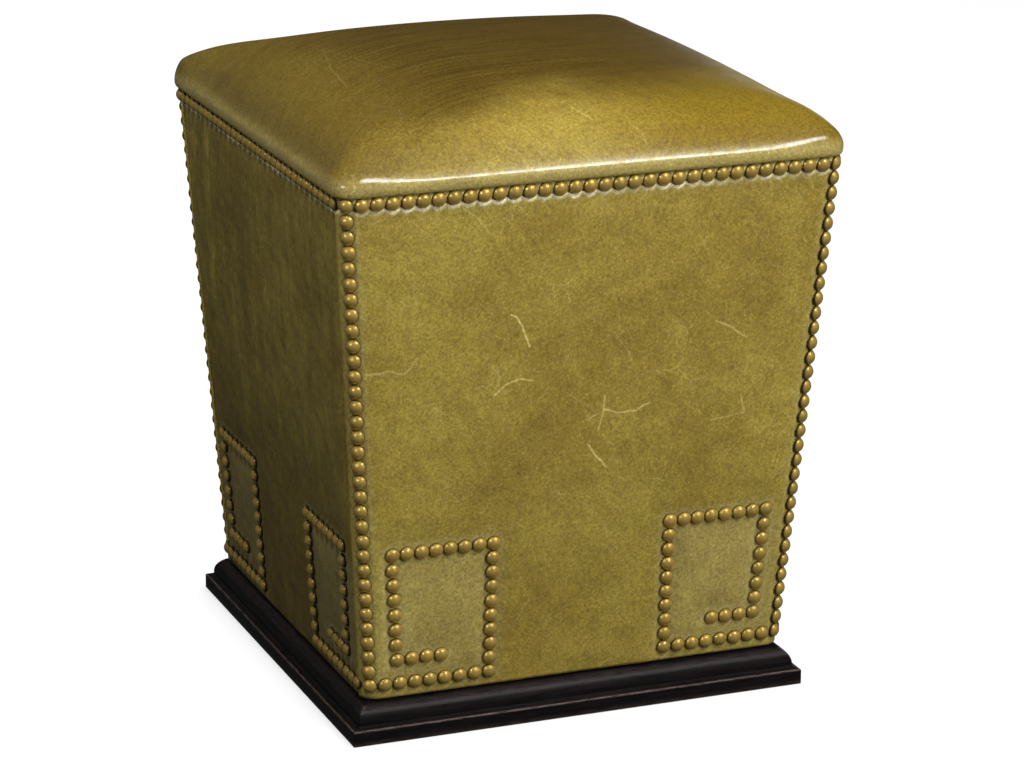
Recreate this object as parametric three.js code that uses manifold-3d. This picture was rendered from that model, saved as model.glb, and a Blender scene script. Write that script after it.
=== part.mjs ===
// Upholstered box footstool. A leather box that narrows towards the floor, with a crowned top,
// rows and keys of domed upholstery nails, and a dark moulded plinth with mitred corners.
// Millimetres, +Z up. The front faces -Y, and the origin is on the floor under the middle.
import * as THREE from "three";
import { mergeVertices } from "three/addons/utils/BufferGeometryUtils.js";
import Module from "manifold-3d";

const wasm = await Module();
wasm.setup();

// Fit between neighbouring pieces, and how far a cutter runs past what it cuts
const seam = 0.3;
const overrun = 2;

// Outside of the leather box, measured on the side leather
const seat_width = 432;
const side_taper = 28.5;
const top_row_height = 457;
const bottom_row_rise = 11;
const leather_foot_lap = 1;
const corner_radius = 14;
const leather_thickness = 1.8;

// Crowned top: widest a little above the nails, then a rounded shoulder and a low dome
const cushion_overhang = 4.5;
const cushion_corner_radius = 20;
const bulge_rise = 12.5;
const shoulder_width = 78;
const shoulder_rise = 33;
const crown_rise = 21.5;
const crown_power_share = 0.72;
const ring_shares = [1, 0.985, 0.96, 0.92, 0.86, 0.78, 0.66, 0.5, 0.3, 0.12];

// Domed upholstery nails and the keys that they draw in the lower corners
const nail_diameter = 12.7;
const nail_height = 3.3;
const nail_gap = 0.25;
const nail_waist = 1.4;
const nail_waist_height = 0.9;
const nail_lift = 0.5;
const nail_top_share = 0.55;
const strip_end_share = 0.48;
const midway_share = 0.5;
const column_turn = THREE.MathUtils.degToRad(36);
const key_width_front = 104;
const key_width_side = 116;
const key_height = 114;
const key_return = 87.5;
const key_drop = 93;
const key_foot = 38.3;

// Moulded plinth
const plinth_overhang = 13.5;
const plinth_height = 34.5;
const moulding_width = 45;
const fascia_height = 13.5;
const fascia_ease = 1.8;
const ledge_width = 6;
const ledge_rise = 1.2;
const quirk_rise = 2.3;
const ovolo_depth = 24;

// Boards, rails and posts of the frame, and the padding over it
const base_board_thickness = 12;
const deck_thickness = 12;
const panel_thickness = 9;
const panel_top_rise = 6;
const padding_thickness = 6;
const padding_foot_gap = 3;
const post_width = 32;
const rail_thickness = 20;
const top_rail_height = 60;
const bottom_rail_height = 40;

// Corner blocks inside the plinth, their screws, and the cloth under the base
const block_leg = 52;
const block_foot_height = 6;
const screw_inset = 14;
const screw_length = 36;
const screw_radius = 2.1;
const screw_head_radius = 4.2;
const screw_head_height = 2.6;
const screw_tip_length = 4;
const dust_cloth_thickness = 1;
const dust_cloth_margin = 2;

// Where the layers lie, as distances in from the outside of the side leather
const tuck = leather_thickness + seam;
const padding_offset = leather_thickness + seam;
const panel_offset = padding_offset + padding_thickness + seam;
const frame_offset = panel_offset + panel_thickness + seam;

// Widths and heights that follow from the sizes above
const foot_width = seat_width - 2 * side_taper;
const plinth_width = foot_width + 2 * plinth_overhang;
const cushion_width = seat_width + 2 * cushion_overhang;
const bottom_row_height = plinth_height + bottom_row_rise;
const leather_foot_height = plinth_height - leather_foot_lap;
const panel_top_height = top_row_height + panel_top_rise;
const bulge_height = top_row_height + bulge_rise;
const ovolo_foot_height = fascia_height + ledge_rise + quirk_rise;
const nail_radius = nail_diameter / 2;
const nail_pitch = nail_diameter + nail_gap;
const skirt_foot_height = top_row_height - nail_radius + leather_thickness;
const skirt_top_height = top_row_height + nail_radius + seam;
const tuck_top_height = skirt_foot_height - leather_thickness;
const tuck_foot_height = tuck_top_height - tuck - leather_thickness;
const base_board_foot = plinth_height + seam;
const frame_foot = base_board_foot + base_board_thickness + seam;
const deck_foot = panel_top_height - deck_thickness;
const frame_top = deck_foot - seam;
const plinth_half = plinth_width / 2;
const plinth_inner_half = plinth_half - moulding_width;

const side_names = ["front", "right", "back", "left"];
const corner_names = ["front_right", "back_right", "back_left", "front_left"];
const corner_steps = 4;
const side_steps = 6;
const ovolo_steps = 7;
const round_steps = 12;
const quarter_turn = Math.PI / 2;

const materials = {
  leather: { color: 0x978a42, roughness: 0.45, metalness: 0 },
  brass: { color: 0x9a7a38, roughness: 0.35, metalness: 0.9 },
  stained_wood: { color: 0x241813, roughness: 0.35, metalness: 0 },
  frame_wood: { color: 0xb78f5e, roughness: 0.75, metalness: 0 },
  plywood: { color: 0xc7a574, roughness: 0.8, metalness: 0 },
  foam: { color: 0xe7dcae, roughness: 0.95, metalness: 0 },
  wadding: { color: 0xeeeeea, roughness: 1, metalness: 0 },
  dust_cloth: { color: 0x1c1c1e, roughness: 0.95, metalness: 0 },
  steel: { color: 0x9c9a90, roughness: 0.4, metalness: 0.9 },
};

const footstool = new THREE.Group();

// Adds one piece, turned about the middle by a number of quarter turns
function add(name, geometry, material, quarter_turns = 0) {
  geometry.computeVertexNormals();
  const mesh = new THREE.Mesh(geometry, new THREE.MeshStandardMaterial(materials[material]));
  mesh.name = name;
  mesh.rotation.z = quarter_turns * quarter_turn;
  footstool.add(mesh);
}

// Half the width across the side leather at a height: the box leans out as it rises
function faceHalf(z) {
  const rise_share = (z - bottom_row_height) / (top_row_height - bottom_row_height);
  return (foot_width + (seat_width - foot_width) * rise_share) / 2;
}

// Triangles that close a flat ring of points
function capFaces(ring) {
  const normal = new THREE.Vector3();
  ring.forEach((point, i) => {
    normal.add(new THREE.Vector3().crossVectors(point, ring[(i + 1) % ring.length]));
  });
  normal.normalize();
  const across = new THREE.Vector3().subVectors(ring[1], ring[0]);
  across.addScaledVector(normal, -across.dot(normal)).normalize();
  const up = new THREE.Vector3().crossVectors(normal, across);
  const flat = ring.map((point) => new THREE.Vector2(point.dot(across), point.dot(up)));
  return THREE.ShapeUtils.triangulateShape(flat, []);
}

// A closed body through a stack of rings, each counter-clockwise seen from the way they advance
function loft(rings) {
  const count = rings[0].length;
  const index = [];
  for (const [a, b, c] of capFaces(rings[0])) {
    index.push(c, b, a);
  }
  for (let level = 0; level < rings.length - 1; level += 1) {
    for (let i = 0; i < count; i += 1) {
      const here = level * count + i;
      const next = level * count + ((i + 1) % count);
      index.push(here, next, next + count, here, next + count, here + count);
    }
  }
  const last = (rings.length - 1) * count;
  for (const [a, b, c] of capFaces(rings.at(-1))) {
    index.push(last + a, last + b, last + c);
  }
  const geometry = new THREE.BufferGeometry();
  geometry.setFromPoints(rings.flat());
  geometry.setIndex(index);
  return geometry;
}

// A board, rail or sheet along the front, following the lean of the box at each height
function sideWall(heights, offsetAt, thickness, halfLengthAt) {
  return loft(heights.map((z) => {
    const outer = faceHalf(z) - offsetAt(z);
    const inner = outer - thickness;
    const half = halfLengthAt(z);
    return [
      new THREE.Vector3(-half, -outer, z),
      new THREE.Vector3(half, -outer, z),
      new THREE.Vector3(half, -inner, z),
      new THREE.Vector3(-half, -inner, z),
    ];
  }));
}

// Points round a square with rounded corners, counter-clockwise from above
function roundedOutline(half, radius) {
  const flat = half - radius;
  const points = [];
  for (let corner = 0; corner < corner_names.length; corner += 1) {
    const middle = new THREE.Vector2();
    for (let i = 0; i <= side_steps; i += 1) {
      const point = new THREE.Vector2(flat * (2 * i / side_steps - 1), -half);
      points.push(point.rotateAround(middle, corner * quarter_turn));
    }
    for (let i = 1; i < corner_steps; i += 1) {
      const turn = quarter_turn * (i / corner_steps - 1);
      const point = new THREE.Vector2(flat + radius * Math.cos(turn), radius * Math.sin(turn) - flat);
      points.push(point.rotateAround(middle, corner * quarter_turn));
    }
  }
  return points;
}

function flatRing(half, radius, z) {
  return roundedOutline(half, radius).map((point) => new THREE.Vector3(point.x, point.y, z));
}

// The crowned top as rings from its widest line to near its middle, set in by an inset
function crownRings(inset) {
  const half = cushion_width / 2 - inset;
  const outline = roundedOutline(half, cushion_corner_radius - inset);
  const full_rise = shoulder_rise + crown_rise;
  const rise_share = (full_rise - inset) / full_rise;
  return ring_shares.map((share) => outline.map((edge) => {
    const x = edge.x * share;
    const y = edge.y * share;
    const climb = Math.min((1 - share) * half / shoulder_width, 1);
    const shoulder = shoulder_rise * Math.sqrt(1 - (1 - climb) ** 2);
    const fall = Math.max(1 - (x / half) ** 2, 0) * Math.max(1 - (y / half) ** 2, 0);
    const bow = fall ** crown_power_share;
    return new THREE.Vector3(x, y, bulge_height + (shoulder + crown_rise * bow) * rise_share);
  }));
}

// Leather over the crowned top: a shell, open below, with a skirt under the top row of nails
function topCover() {
  const skirt = [skirt_foot_height, skirt_top_height];
  const outer = skirt.map((z) => flatRing(faceHalf(z), corner_radius, z));
  const inner = skirt.map((z) => {
    return flatRing(faceHalf(z) - leather_thickness, corner_radius - leather_thickness, z);
  });
  const inside = [...inner, ...crownRings(leather_thickness)].reverse();
  return loft([...inside, ...outer, ...crownRings(0)]);
}

// Foam that fills the leather top and rests on the deck and the tops of the panels
function foamCushion() {
  const foot = panel_top_height + seam;
  const inset = leather_thickness + seam;
  return loft([flatRing(faceHalf(foot) - inset, corner_radius - inset, foot), ...crownRings(inset)]);
}

// How far the side leather is drawn in under the skirt of the top leather
const cover_heights = [leather_foot_height, tuck_foot_height, tuck_top_height, panel_top_height];

function tuckAt(z) {
  return z > tuck_foot_height ? tuck : 0;
}

// Leather on the front or the back: it runs round both corners as far as the next face
function wrapCover() {
  return loft(cover_heights.map((z) => {
    const flat = faceHalf(z) - corner_radius;
    const outer = corner_radius - tuckAt(z);
    const corner = (side, radius, i) => {
      const turn = quarter_turn * i / corner_steps;
      const x = side * (flat + radius * Math.sin(turn));
      return new THREE.Vector3(x, -(flat + radius * Math.cos(turn)), z);
    };
    const steps = Array.from({ length: corner_steps + 1 }, (_, i) => i);
    const back_steps = [...steps].reverse();
    return [
      ...back_steps.map((i) => corner(-1, outer, i)),
      ...steps.map((i) => corner(1, outer, i)),
      ...back_steps.map((i) => corner(1, outer - leather_thickness, i)),
      ...steps.map((i) => corner(-1, outer - leather_thickness, i)),
    ];
  }));
}

// Leather on the left or the right: flat, between the edges of the other two
function flatCover() {
  return sideWall(cover_heights, tuckAt, leather_thickness, (z) => faceHalf(z) - corner_radius - seam);
}

// A place on the leather, by its height and its distance round from the middle of the front
function onLeather(along, z) {
  const flat = faceHalf(z) - corner_radius;
  const side = Math.sign(along);
  const turn = Math.max(Math.abs(along) - flat, 0) / corner_radius;
  const x = side * (Math.min(Math.abs(along), flat) + corner_radius * Math.sin(turn));
  const lean = (seat_width - foot_width) / 2 / (top_row_height - bottom_row_height);
  return {
    point: new THREE.Vector3(x, -(flat + corner_radius * Math.cos(turn)), z),
    out: new THREE.Vector3(side * Math.sin(turn), -Math.cos(turn), -lean).normalize(),
  };
}

// A run of nail heads as one bead strip. Each nail is a place: [distance along, height]
function nailStrip(nails) {
  const between = (a, b, share) => [a[0] + (b[0] - a[0]) * share, a[1] + (b[1] - a[1]) * share];
  const places = [between(nails[0], nails[1], -strip_end_share)];
  nails.forEach((nail, i) => {
    places.push(nail);
    places.push(i < nails.length - 1
      ? between(nail, nails[i + 1], midway_share)
      : between(nail, nails[i - 1], -strip_end_share));
  });
  const spots = places.map((place) => onLeather(...place));
  return loft(spots.map(({ point, out }, i) => {
    const before = spots[Math.max(i - 1, 0)].point;
    const after = spots[Math.min(i + 1, spots.length - 1)].point;
    const ahead = new THREE.Vector3().subVectors(after, before);
    const wide = new THREE.Vector3().crossVectors(out, ahead).normalize();
    const is_nail = i % 2 === 1;
    const half = is_nail ? nail_radius : nail_waist / 2;
    const height = is_nail ? nail_height : nail_waist_height;
    const corner = (across, rise) => {
      return point.clone().addScaledVector(wide, across).addScaledVector(out, rise + nail_lift);
    };
    return [
      corner(-half, 0),
      corner(half, 0),
      corner(half * nail_top_share, height),
      corner(-half * nail_top_share, height),
    ];
  }));
}

// Distance round from the middle of a face to the nail column at its corner
function cornerNailAlong(z, turn) {
  return faceHalf(z) - corner_radius + corner_radius * turn;
}

function pitchCount(length) {
  return Math.round(length / nail_pitch);
}

// The top row on one face. The front and back rows take the corner nails
function nailRow(turn, takes_corners) {
  const end = cornerNailAlong(top_row_height, turn);
  const count = pitchCount(2 * end);
  const nails = [];
  for (let i = 0; i <= count; i += 1) {
    nails.push([end * (2 * i / count - 1), top_row_height]);
  }
  return nailStrip(takes_corners ? nails : nails.slice(1, -1));
}

// The column of nails down one rounded corner, from under the top row to the bottom corner nail
function nailColumn(side) {
  const drop = top_row_height - bottom_row_height;
  const count = pitchCount(drop);
  const nails = [];
  for (let i = 1; i <= count; i += 1) {
    const z = top_row_height - drop * i / count;
    nails.push([side * cornerNailAlong(z, column_turn), z]);
  }
  return nailStrip(nails);
}

// A key in a lower corner: in from the corner nail, up, back, down beside the edge, and a foot
function nailKey(side, turn, width) {
  const nails = [];
  let along = cornerNailAlong(bottom_row_height, turn);
  let z = bottom_row_height;
  const run = (length, alongStep, heightStep) => {
    const count = pitchCount(length);
    for (let i = 0; i < count; i += 1) {
      along += alongStep * length / count;
      z += heightStep * length / count;
      nails.push([side * along, z]);
    }
  };
  run(width, -1, 0);
  run(key_height, 0, 1);
  run(key_return, 1, 0);
  const lean = (faceHalf(z) - faceHalf(z - key_drop)) / key_drop;
  run(key_drop, -lean, -1);
  run(key_foot, -1, 0);
  return nailStrip(nails);
}

// One side of the plinth: a fascia, a ledge and an ovolo, mitred at both ends
function plinthMoulding() {
  const ovolo_outer = plinth_half - ledge_width;
  const ovolo_rise = plinth_height - ovolo_foot_height;
  const profile = [
    [plinth_half, 0],
    [plinth_half, fascia_height - fascia_ease],
    [plinth_half - fascia_ease, fascia_height],
    [ovolo_outer, fascia_height + ledge_rise],
  ];
  for (let i = 0; i <= ovolo_steps; i += 1) {
    const turn = quarter_turn * i / ovolo_steps;
    const out = ovolo_outer - ovolo_depth * (1 - Math.cos(turn));
    profile.push([out, ovolo_foot_height + ovolo_rise * Math.sin(turn)]);
  }
  profile.push([plinth_inner_half, plinth_height], [plinth_inner_half, 0]);
  profile.reverse();
  return loft([-1, 1].map((side) => profile.map(([out, z]) => {
    return new THREE.Vector3(side * (out - seam), -out, z);
  })));
}

function toSolid(geometry) {
  const bare = geometry.clone();
  bare.deleteAttribute("normal");
  bare.deleteAttribute("uv");
  const merged = mergeVertices(bare);
  return new wasm.Manifold(new wasm.Mesh({
    numProp: 3,
    vertProperties: new Float32Array(merged.attributes.position.array),
    triVerts: new Uint32Array(merged.index.array),
  }));
}

function toGeometry(solid) {
  const mesh = solid.getMesh();
  const geometry = new THREE.BufferGeometry();
  geometry.setAttribute("position", new THREE.BufferAttribute(new Float32Array(mesh.vertProperties), 3));
  geometry.setIndex(new THREE.BufferAttribute(new Uint32Array(mesh.triVerts), 1));
  return geometry;
}

// A round bar or cone, upright, from a foot height, at a place
function upright(foot_radius, top_radius, foot, top, x, y) {
  const bar = new THREE.CylinderGeometry(top_radius, foot_radius, top - foot, round_steps);
  bar.rotateX(quarter_turn);
  return bar.translate(x, y, (foot + top) / 2);
}

// Where the screw of the front right corner block stands
const screw_out = plinth_inner_half - seam - screw_inset;
const screw_foot = block_foot_height;
const screw_top = screw_foot + screw_length;

// A flat box, as a board that lies level
function board(half, foot, thickness) {
  return new THREE.BoxGeometry(2 * half, 2 * half, thickness).translate(0, 0, foot + thickness / 2);
}

// The base board stands on the plinth and takes the points of the four block screws
function baseBoard() {
  let solid = toSolid(board(faceHalf(base_board_foot) - frame_offset, base_board_foot, base_board_thickness));
  const hole_radius = screw_radius + seam;
  for (const x of [-screw_out, screw_out]) {
    for (const y of [-screw_out, screw_out]) {
      const foot = base_board_foot - overrun;
      const hole = upright(hole_radius, hole_radius, foot, screw_top + seam, x, y);
      solid = solid.subtract(toSolid(hole));
    }
  }
  return toGeometry(solid);
}

// A three-cornered block in the front right corner of the plinth, countersunk from below
function cornerBlock() {
  const outer = plinth_inner_half - seam;
  const shape = new THREE.Shape([
    new THREE.Vector2(outer, -outer),
    new THREE.Vector2(outer, block_leg - outer),
    new THREE.Vector2(outer - block_leg, -outer),
  ]);
  const depth = plinth_height - block_foot_height;
  const block = new THREE.ExtrudeGeometry(shape, { depth, bevelEnabled: false });
  block.translate(0, 0, block_foot_height);
  const hole_radius = screw_radius + seam;
  const sink_radius = screw_head_radius + seam;
  const sink_top = screw_foot + screw_head_height + seam;
  const below = screw_foot - overrun;
  const above = plinth_height + overrun;
  const cutters = [
    upright(hole_radius, hole_radius, below, above, screw_out, -screw_out),
    upright(sink_radius, hole_radius, screw_foot, sink_top, screw_out, -screw_out),
    upright(sink_radius, sink_radius, below, screw_foot, screw_out, -screw_out),
  ];
  return toGeometry(cutters.reduce((solid, cutter) => solid.subtract(toSolid(cutter)), toSolid(block)));
}

// A countersunk wood screw, head down
function blockScrew() {
  const profile = [
    new THREE.Vector2(0, 0),
    new THREE.Vector2(screw_head_radius, 0),
    new THREE.Vector2(screw_radius, screw_head_height),
    new THREE.Vector2(screw_radius, screw_length - screw_tip_length),
    new THREE.Vector2(0, screw_length),
  ];
  const screw = new THREE.LatheGeometry(profile, round_steps);
  screw.rotateX(quarter_turn);
  return screw.translate(screw_out, -screw_out, screw_foot);
}

// Thin cloth under the base board, with its corners cut back to clear the blocks
function dustCloth() {
  const half = plinth_inner_half - dust_cloth_margin;
  const cut = half - block_leg - dust_cloth_margin;
  const points = [];
  for (let corner = 0; corner < corner_names.length; corner += 1) {
    for (const x of [-cut, cut]) {
      points.push(new THREE.Vector2(x, -half).rotateAround(new THREE.Vector2(), corner * quarter_turn));
    }
  }
  const shape = new THREE.Shape(points);
  const cloth = new THREE.ExtrudeGeometry(shape, { depth: dust_cloth_thickness, bevelEnabled: false });
  return cloth.translate(0, 0, plinth_height - dust_cloth_thickness);
}

// A leaning corner post, in the front right corner
function cornerPost() {
  return loft([frame_foot, frame_top].map((z) => {
    const outer = faceHalf(z) - frame_offset;
    const inner = outer - post_width;
    return [
      new THREE.Vector3(inner, -outer, z),
      new THREE.Vector3(outer, -outer, z),
      new THREE.Vector3(outer, -inner, z),
      new THREE.Vector3(inner, -inner, z),
    ];
  }));
}

// A rail between two posts
function rail(foot, top) {
  const half = (z) => faceHalf(z) - frame_offset - post_width - seam;
  return sideWall([foot, top], () => frame_offset, rail_thickness, half);
}

// A plywood side. The front and back run past the ends of the other two
function sidePanel(is_long) {
  const half = (z) => faceHalf(z) - (is_long ? panel_offset : frame_offset);
  return sideWall([base_board_foot, panel_top_height], () => panel_offset, panel_thickness, half);
}

// Wadding between a plywood side and its leather
function sidePadding() {
  const heights = [leather_foot_height + padding_foot_gap, tuck_foot_height - seam];
  return sideWall(heights, () => padding_offset, padding_thickness, (z) => faceHalf(z) - corner_radius);
}

side_names.forEach((side, turns) => {
  const is_wrapped = turns % 2 === 0;
  const turn = is_wrapped ? column_turn : quarter_turn - column_turn;
  const key_width = is_wrapped ? key_width_front : key_width_side;
  add(`plinth_${side}`, plinthMoulding(), "stained_wood", turns);
  add(`bottom_rail_${side}`, rail(frame_foot, frame_foot + bottom_rail_height), "frame_wood", turns);
  add(`top_rail_${side}`, rail(frame_top - top_rail_height, frame_top), "frame_wood", turns);
  add(`side_panel_${side}`, sidePanel(is_wrapped), "plywood", turns);
  add(`side_padding_${side}`, sidePadding(), "wadding", turns);
  add(`side_cover_${side}`, is_wrapped ? wrapCover() : flatCover(), "leather", turns);
  add(`nail_row_${side}`, nailRow(turn, is_wrapped), "brass", turns);
  add(`nail_key_${side}_left_end`, nailKey(-1, turn, key_width), "brass", turns);
  add(`nail_key_${side}_right_end`, nailKey(1, turn, key_width), "brass", turns);
});

corner_names.forEach((corner, turns) => {
  add(`corner_block_${corner}`, cornerBlock(), "frame_wood", turns);
  add(`block_screw_${corner}`, blockScrew(), "steel", turns);
  add(`corner_post_${corner}`, cornerPost(), "frame_wood", turns);
  const is_first = turns % 2 === 0;
  add(`nail_column_${corner}`, nailColumn(is_first ? 1 : -1), "brass", is_first ? turns : turns + 1);
});

add("base_board", baseBoard(), "plywood");
add("dust_cloth", dustCloth(), "dust_cloth");
add("seat_deck", board(faceHalf(deck_foot) - frame_offset, deck_foot, deck_thickness), "plywood");
add("foam_cushion", foamCushion(), "foam");
add("top_cover", topCover(), "leather");

export default footstool;
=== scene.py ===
import math

import bpy
import numpy as np
from mathutils import Matrix, Vector


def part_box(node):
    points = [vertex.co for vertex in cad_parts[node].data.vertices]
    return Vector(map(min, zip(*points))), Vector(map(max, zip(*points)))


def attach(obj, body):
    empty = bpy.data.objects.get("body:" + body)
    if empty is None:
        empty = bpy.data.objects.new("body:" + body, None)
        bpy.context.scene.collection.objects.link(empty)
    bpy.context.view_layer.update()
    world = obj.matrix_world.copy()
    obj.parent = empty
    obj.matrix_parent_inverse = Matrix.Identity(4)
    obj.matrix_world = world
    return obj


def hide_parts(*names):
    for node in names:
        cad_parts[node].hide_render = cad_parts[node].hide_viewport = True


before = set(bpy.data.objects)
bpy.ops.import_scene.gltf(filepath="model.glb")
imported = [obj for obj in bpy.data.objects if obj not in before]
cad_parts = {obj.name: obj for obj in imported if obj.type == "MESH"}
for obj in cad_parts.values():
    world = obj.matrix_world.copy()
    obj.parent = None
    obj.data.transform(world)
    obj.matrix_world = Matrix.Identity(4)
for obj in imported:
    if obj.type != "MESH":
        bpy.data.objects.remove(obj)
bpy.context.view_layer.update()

# An upholstered box footstool: leather panels, a crowned leather top, 536 domed nails and a plinth.
# Metres, +Z up, front at -Y. The sizes below repeat the CAD source, or are read from the frame.
MM = 0.001

# Outside of the leather box
SEAT_WIDTH = 432 * MM
SIDE_TAPER = 28.5 * MM
TOP_ROW = 457 * MM
BOTTOM_ROW = 45.5 * MM
CORNER_RADIUS = 14 * MM
LEATHER = 1.8 * MM
SEAM = 0.3 * MM
LEATHER_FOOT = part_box("side_cover_front")[0].z
LEATHER_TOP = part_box("side_cover_front")[1].z

# Crowned top
CUSHION_OVERHANG = 5.2 * MM
CUSHION_RADIUS = 20 * MM
SKIRT_FOOT = TOP_ROW - 2.2 * MM
BULGE = TOP_ROW + 13 * MM
EDGE_RADIUS = 7 * MM
EDGE_TURN = math.radians(40)
SHOULDER_WIDTH = 77 * MM
SHOULDER_RISE = 32 * MM
SHOULDER_POWER = 3.1
CROWN_RISE = 17.5 * MM

# Nails
NAIL_RADIUS = 6.35 * MM
NAIL_EDGE = 0.6 * MM
NAIL_SLOPE = math.radians(68)
NAIL_PITCH = 12.95 * MM
COLUMN_TURN = math.radians(36)
KEY_WIDTH_FRONT = 104 * MM
KEY_WIDTH_SIDE = 116 * MM
KEY_HEIGHT = 114 * MM
KEY_RETURN = 87.5 * MM
KEY_DROP = 93 * MM
KEY_FOOT = 38.3 * MM

# Plinth moulding
PLINTH_HALF = -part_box("plinth_front")[0].y
PLINTH_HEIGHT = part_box("plinth_front")[1].z
PLINTH_INNER = PLINTH_HALF - 45 * MM
FASCIA_HEIGHT = 13.5 * MM
FASCIA_EASE = 1.8 * MM
LEDGE_WIDTH = 6 * MM
LEDGE_RISE = 1.2 * MM
OVOLO_FOOT = 17 * MM
OVOLO_DEPTH = 24 * MM

SIDES = ("front", "right", "back", "left")
CORNERS = ("front_right", "back_right", "back_left", "front_left")
QUARTER = math.pi / 2


QUARTERS = ((1, 0), (0, 1), (-1, 0), (0, -1))


def quarter_turn(points, turns):
    """Points of the front, turned about the middle to another side."""
    c, s = QUARTERS[turns % 4]
    x, y = points[..., 0], points[..., 1]
    return np.stack([c * x - s * y, s * x + c * y, points[..., 2]], -1)


def face_half(z):
    """Half the width across the side leather at a height."""
    return SEAT_WIDTH / 2 - SIDE_TAPER * (TOP_ROW - z) / (TOP_ROW - BOTTOM_ROW)


LEAN = SIDE_TAPER / (TOP_ROW - BOTTOM_ROW)


def on_leather(along, z):
    """Points and outward directions on the front leather, by distance round from its middle and height."""
    along, z = np.broadcast_arrays(np.asarray(along, float), np.asarray(z, float))
    flat = face_half(z) - CORNER_RADIUS
    side = np.sign(along)
    turn = np.maximum(np.abs(along) - flat, 0) / CORNER_RADIUS
    x = side * (np.minimum(np.abs(along), flat) + CORNER_RADIUS * np.sin(turn))
    y = -(flat + CORNER_RADIUS * np.cos(turn))
    out = np.stack([side * np.sin(turn), -np.cos(turn), np.full_like(z, -LEAN)], -1)
    return np.stack([x, y, z], -1), out / np.linalg.norm(out, axis=-1, keepdims=True)


def ramp(low, high, value):
    share = np.clip((value - low) / (high - low), 0, 1)
    return share * share * (3 - 2 * share)


def wave_noise(seed, count, low, high, *coordinates):
    """A smooth random field from -1 to 1, as a sum of plane waves with wavelengths from low to high."""
    rng = np.random.default_rng(seed)
    total = np.zeros(np.broadcast(*coordinates).shape)
    for _ in range(count):
        direction = rng.normal(size=len(coordinates))
        direction *= 2 * math.pi / rng.uniform(low, high) / np.linalg.norm(direction)
        phase = rng.uniform(0, 2 * math.pi)
        total += np.sin(sum(d * c for d, c in zip(direction, coordinates)) + phase)
    return total / math.sqrt(count / 2)


# Where the nails stand

def corner_along(z, turn):
    return face_half(z) - CORNER_RADIUS + CORNER_RADIUS * turn


def pitches(length):
    return round(length / NAIL_PITCH)


def row_places(turn, takes_corners):
    end = corner_along(TOP_ROW, turn)
    count = pitches(2 * end)
    places = [(end * (2 * i / count - 1), TOP_ROW) for i in range(count + 1)]
    return places if takes_corners else places[1:-1]


def column_places(side):
    drop = TOP_ROW - BOTTOM_ROW
    count = pitches(drop)
    heights = [TOP_ROW - drop * i / count for i in range(1, count + 1)]
    return [(side * corner_along(z, COLUMN_TURN), z) for z in heights]


def key_places(side, turn, width):
    """A key: in from the corner nail, up, back, down beside the edge, and a foot."""
    places = []
    along, z = corner_along(BOTTOM_ROW, turn), BOTTOM_ROW
    runs = [(width, -1, 0), (KEY_HEIGHT, 0, 1), (KEY_RETURN, 1, 0), (KEY_DROP, -LEAN, -1), (KEY_FOOT, -1, 0)]
    for length, along_step, height_step in runs:
        count = pitches(length)
        for _ in range(count):
            along += along_step * length / count
            z += height_step * length / count
            places.append((side * along, z))
    return places


def key_width(turns):
    return KEY_WIDTH_FRONT if turns % 2 == 0 else KEY_WIDTH_SIDE


def side_turn(turns):
    return COLUMN_TURN if turns % 2 == 0 else QUARTER - COLUMN_TURN


def side_places(turns):
    """Every nail that presses on the leather of one side."""
    wrapped = turns % 2 == 0
    turn = side_turn(turns)
    width = key_width(turns)
    places = row_places(turn, wrapped) + key_places(-1, turn, width) + key_places(1, turn, width)
    if wrapped:
        places += column_places(-1) + column_places(1)
    return np.array(places)


# Meshes

def new_mesh(name, points, faces, material=None):
    mesh = bpy.data.meshes.new(name)
    mesh.from_pydata([tuple(p) for p in points], [], [tuple(int(i) for i in f) for f in faces])
    if material:
        mesh.materials.append(material)
    return mesh


def new_object(name, data):
    added = bpy.data.objects.new(name, data)
    bpy.context.scene.collection.objects.link(added)
    return added


def add_piece(name, points, faces, material, replaced, attributes=None):
    """A piece on the one body in place of a CAD node, with named values at its points for its material."""
    mesh = new_mesh(name, points, faces, material)
    for key, values in (attributes or {}).items():
        layer = mesh.attributes.new(key, "FLOAT", "POINT")
        layer.data.foreach_set("value", np.asarray(values, np.float32).ravel())
    mesh.polygons.foreach_set("use_smooth", [True] * len(mesh.polygons))
    mesh.update()
    piece = new_object(name, mesh)
    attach(piece, "root")
    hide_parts(replaced)
    return piece


def grid_faces(rows, columns, start=0, flip=False, closed=False):
    """Quads over a grid of points, row by row. A closed grid joins its last column to its first."""
    faces = []
    for r in range(rows - 1):
        for c in range(columns if closed else columns - 1):
            a = start + r * columns + c
            b = start + r * columns + (c + 1) % columns
            quad = (a, b, b + columns, a + columns)
            faces.append(quad[::-1] if flip else quad)
    return faces


def sheet_body(outer, inner):
    """A closed body between two grids of points, the outer one facing out."""
    rows, columns = outer.shape[:2]
    size = rows * columns
    points = np.concatenate([outer.reshape(-1, 3), inner.reshape(-1, 3)])
    faces = grid_faces(rows, columns) + grid_faces(rows, columns, size, flip=True)
    edge = list(range(columns))
    edge += [r * columns + columns - 1 for r in range(1, rows)]
    edge += [(rows - 1) * columns + c for c in range(columns - 2, -1, -1)]
    edge += [r * columns for r in range(rows - 2, 0, -1)]
    for i, a in enumerate(edge):
        b = edge[(i + 1) % len(edge)]
        faces.append((a, a + size, b + size, b))
    return points, faces


def loft_faces(rows, columns):
    """A closed stack of closed rings, with flat ends."""
    faces = grid_faces(rows, columns, closed=True)
    faces.append(tuple(range(columns))[::-1])
    faces.append(tuple((rows - 1) * columns + c for c in range(columns)))
    return faces


# Shader helpers, in which m is the material, or the world, that a node goes into

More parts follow.
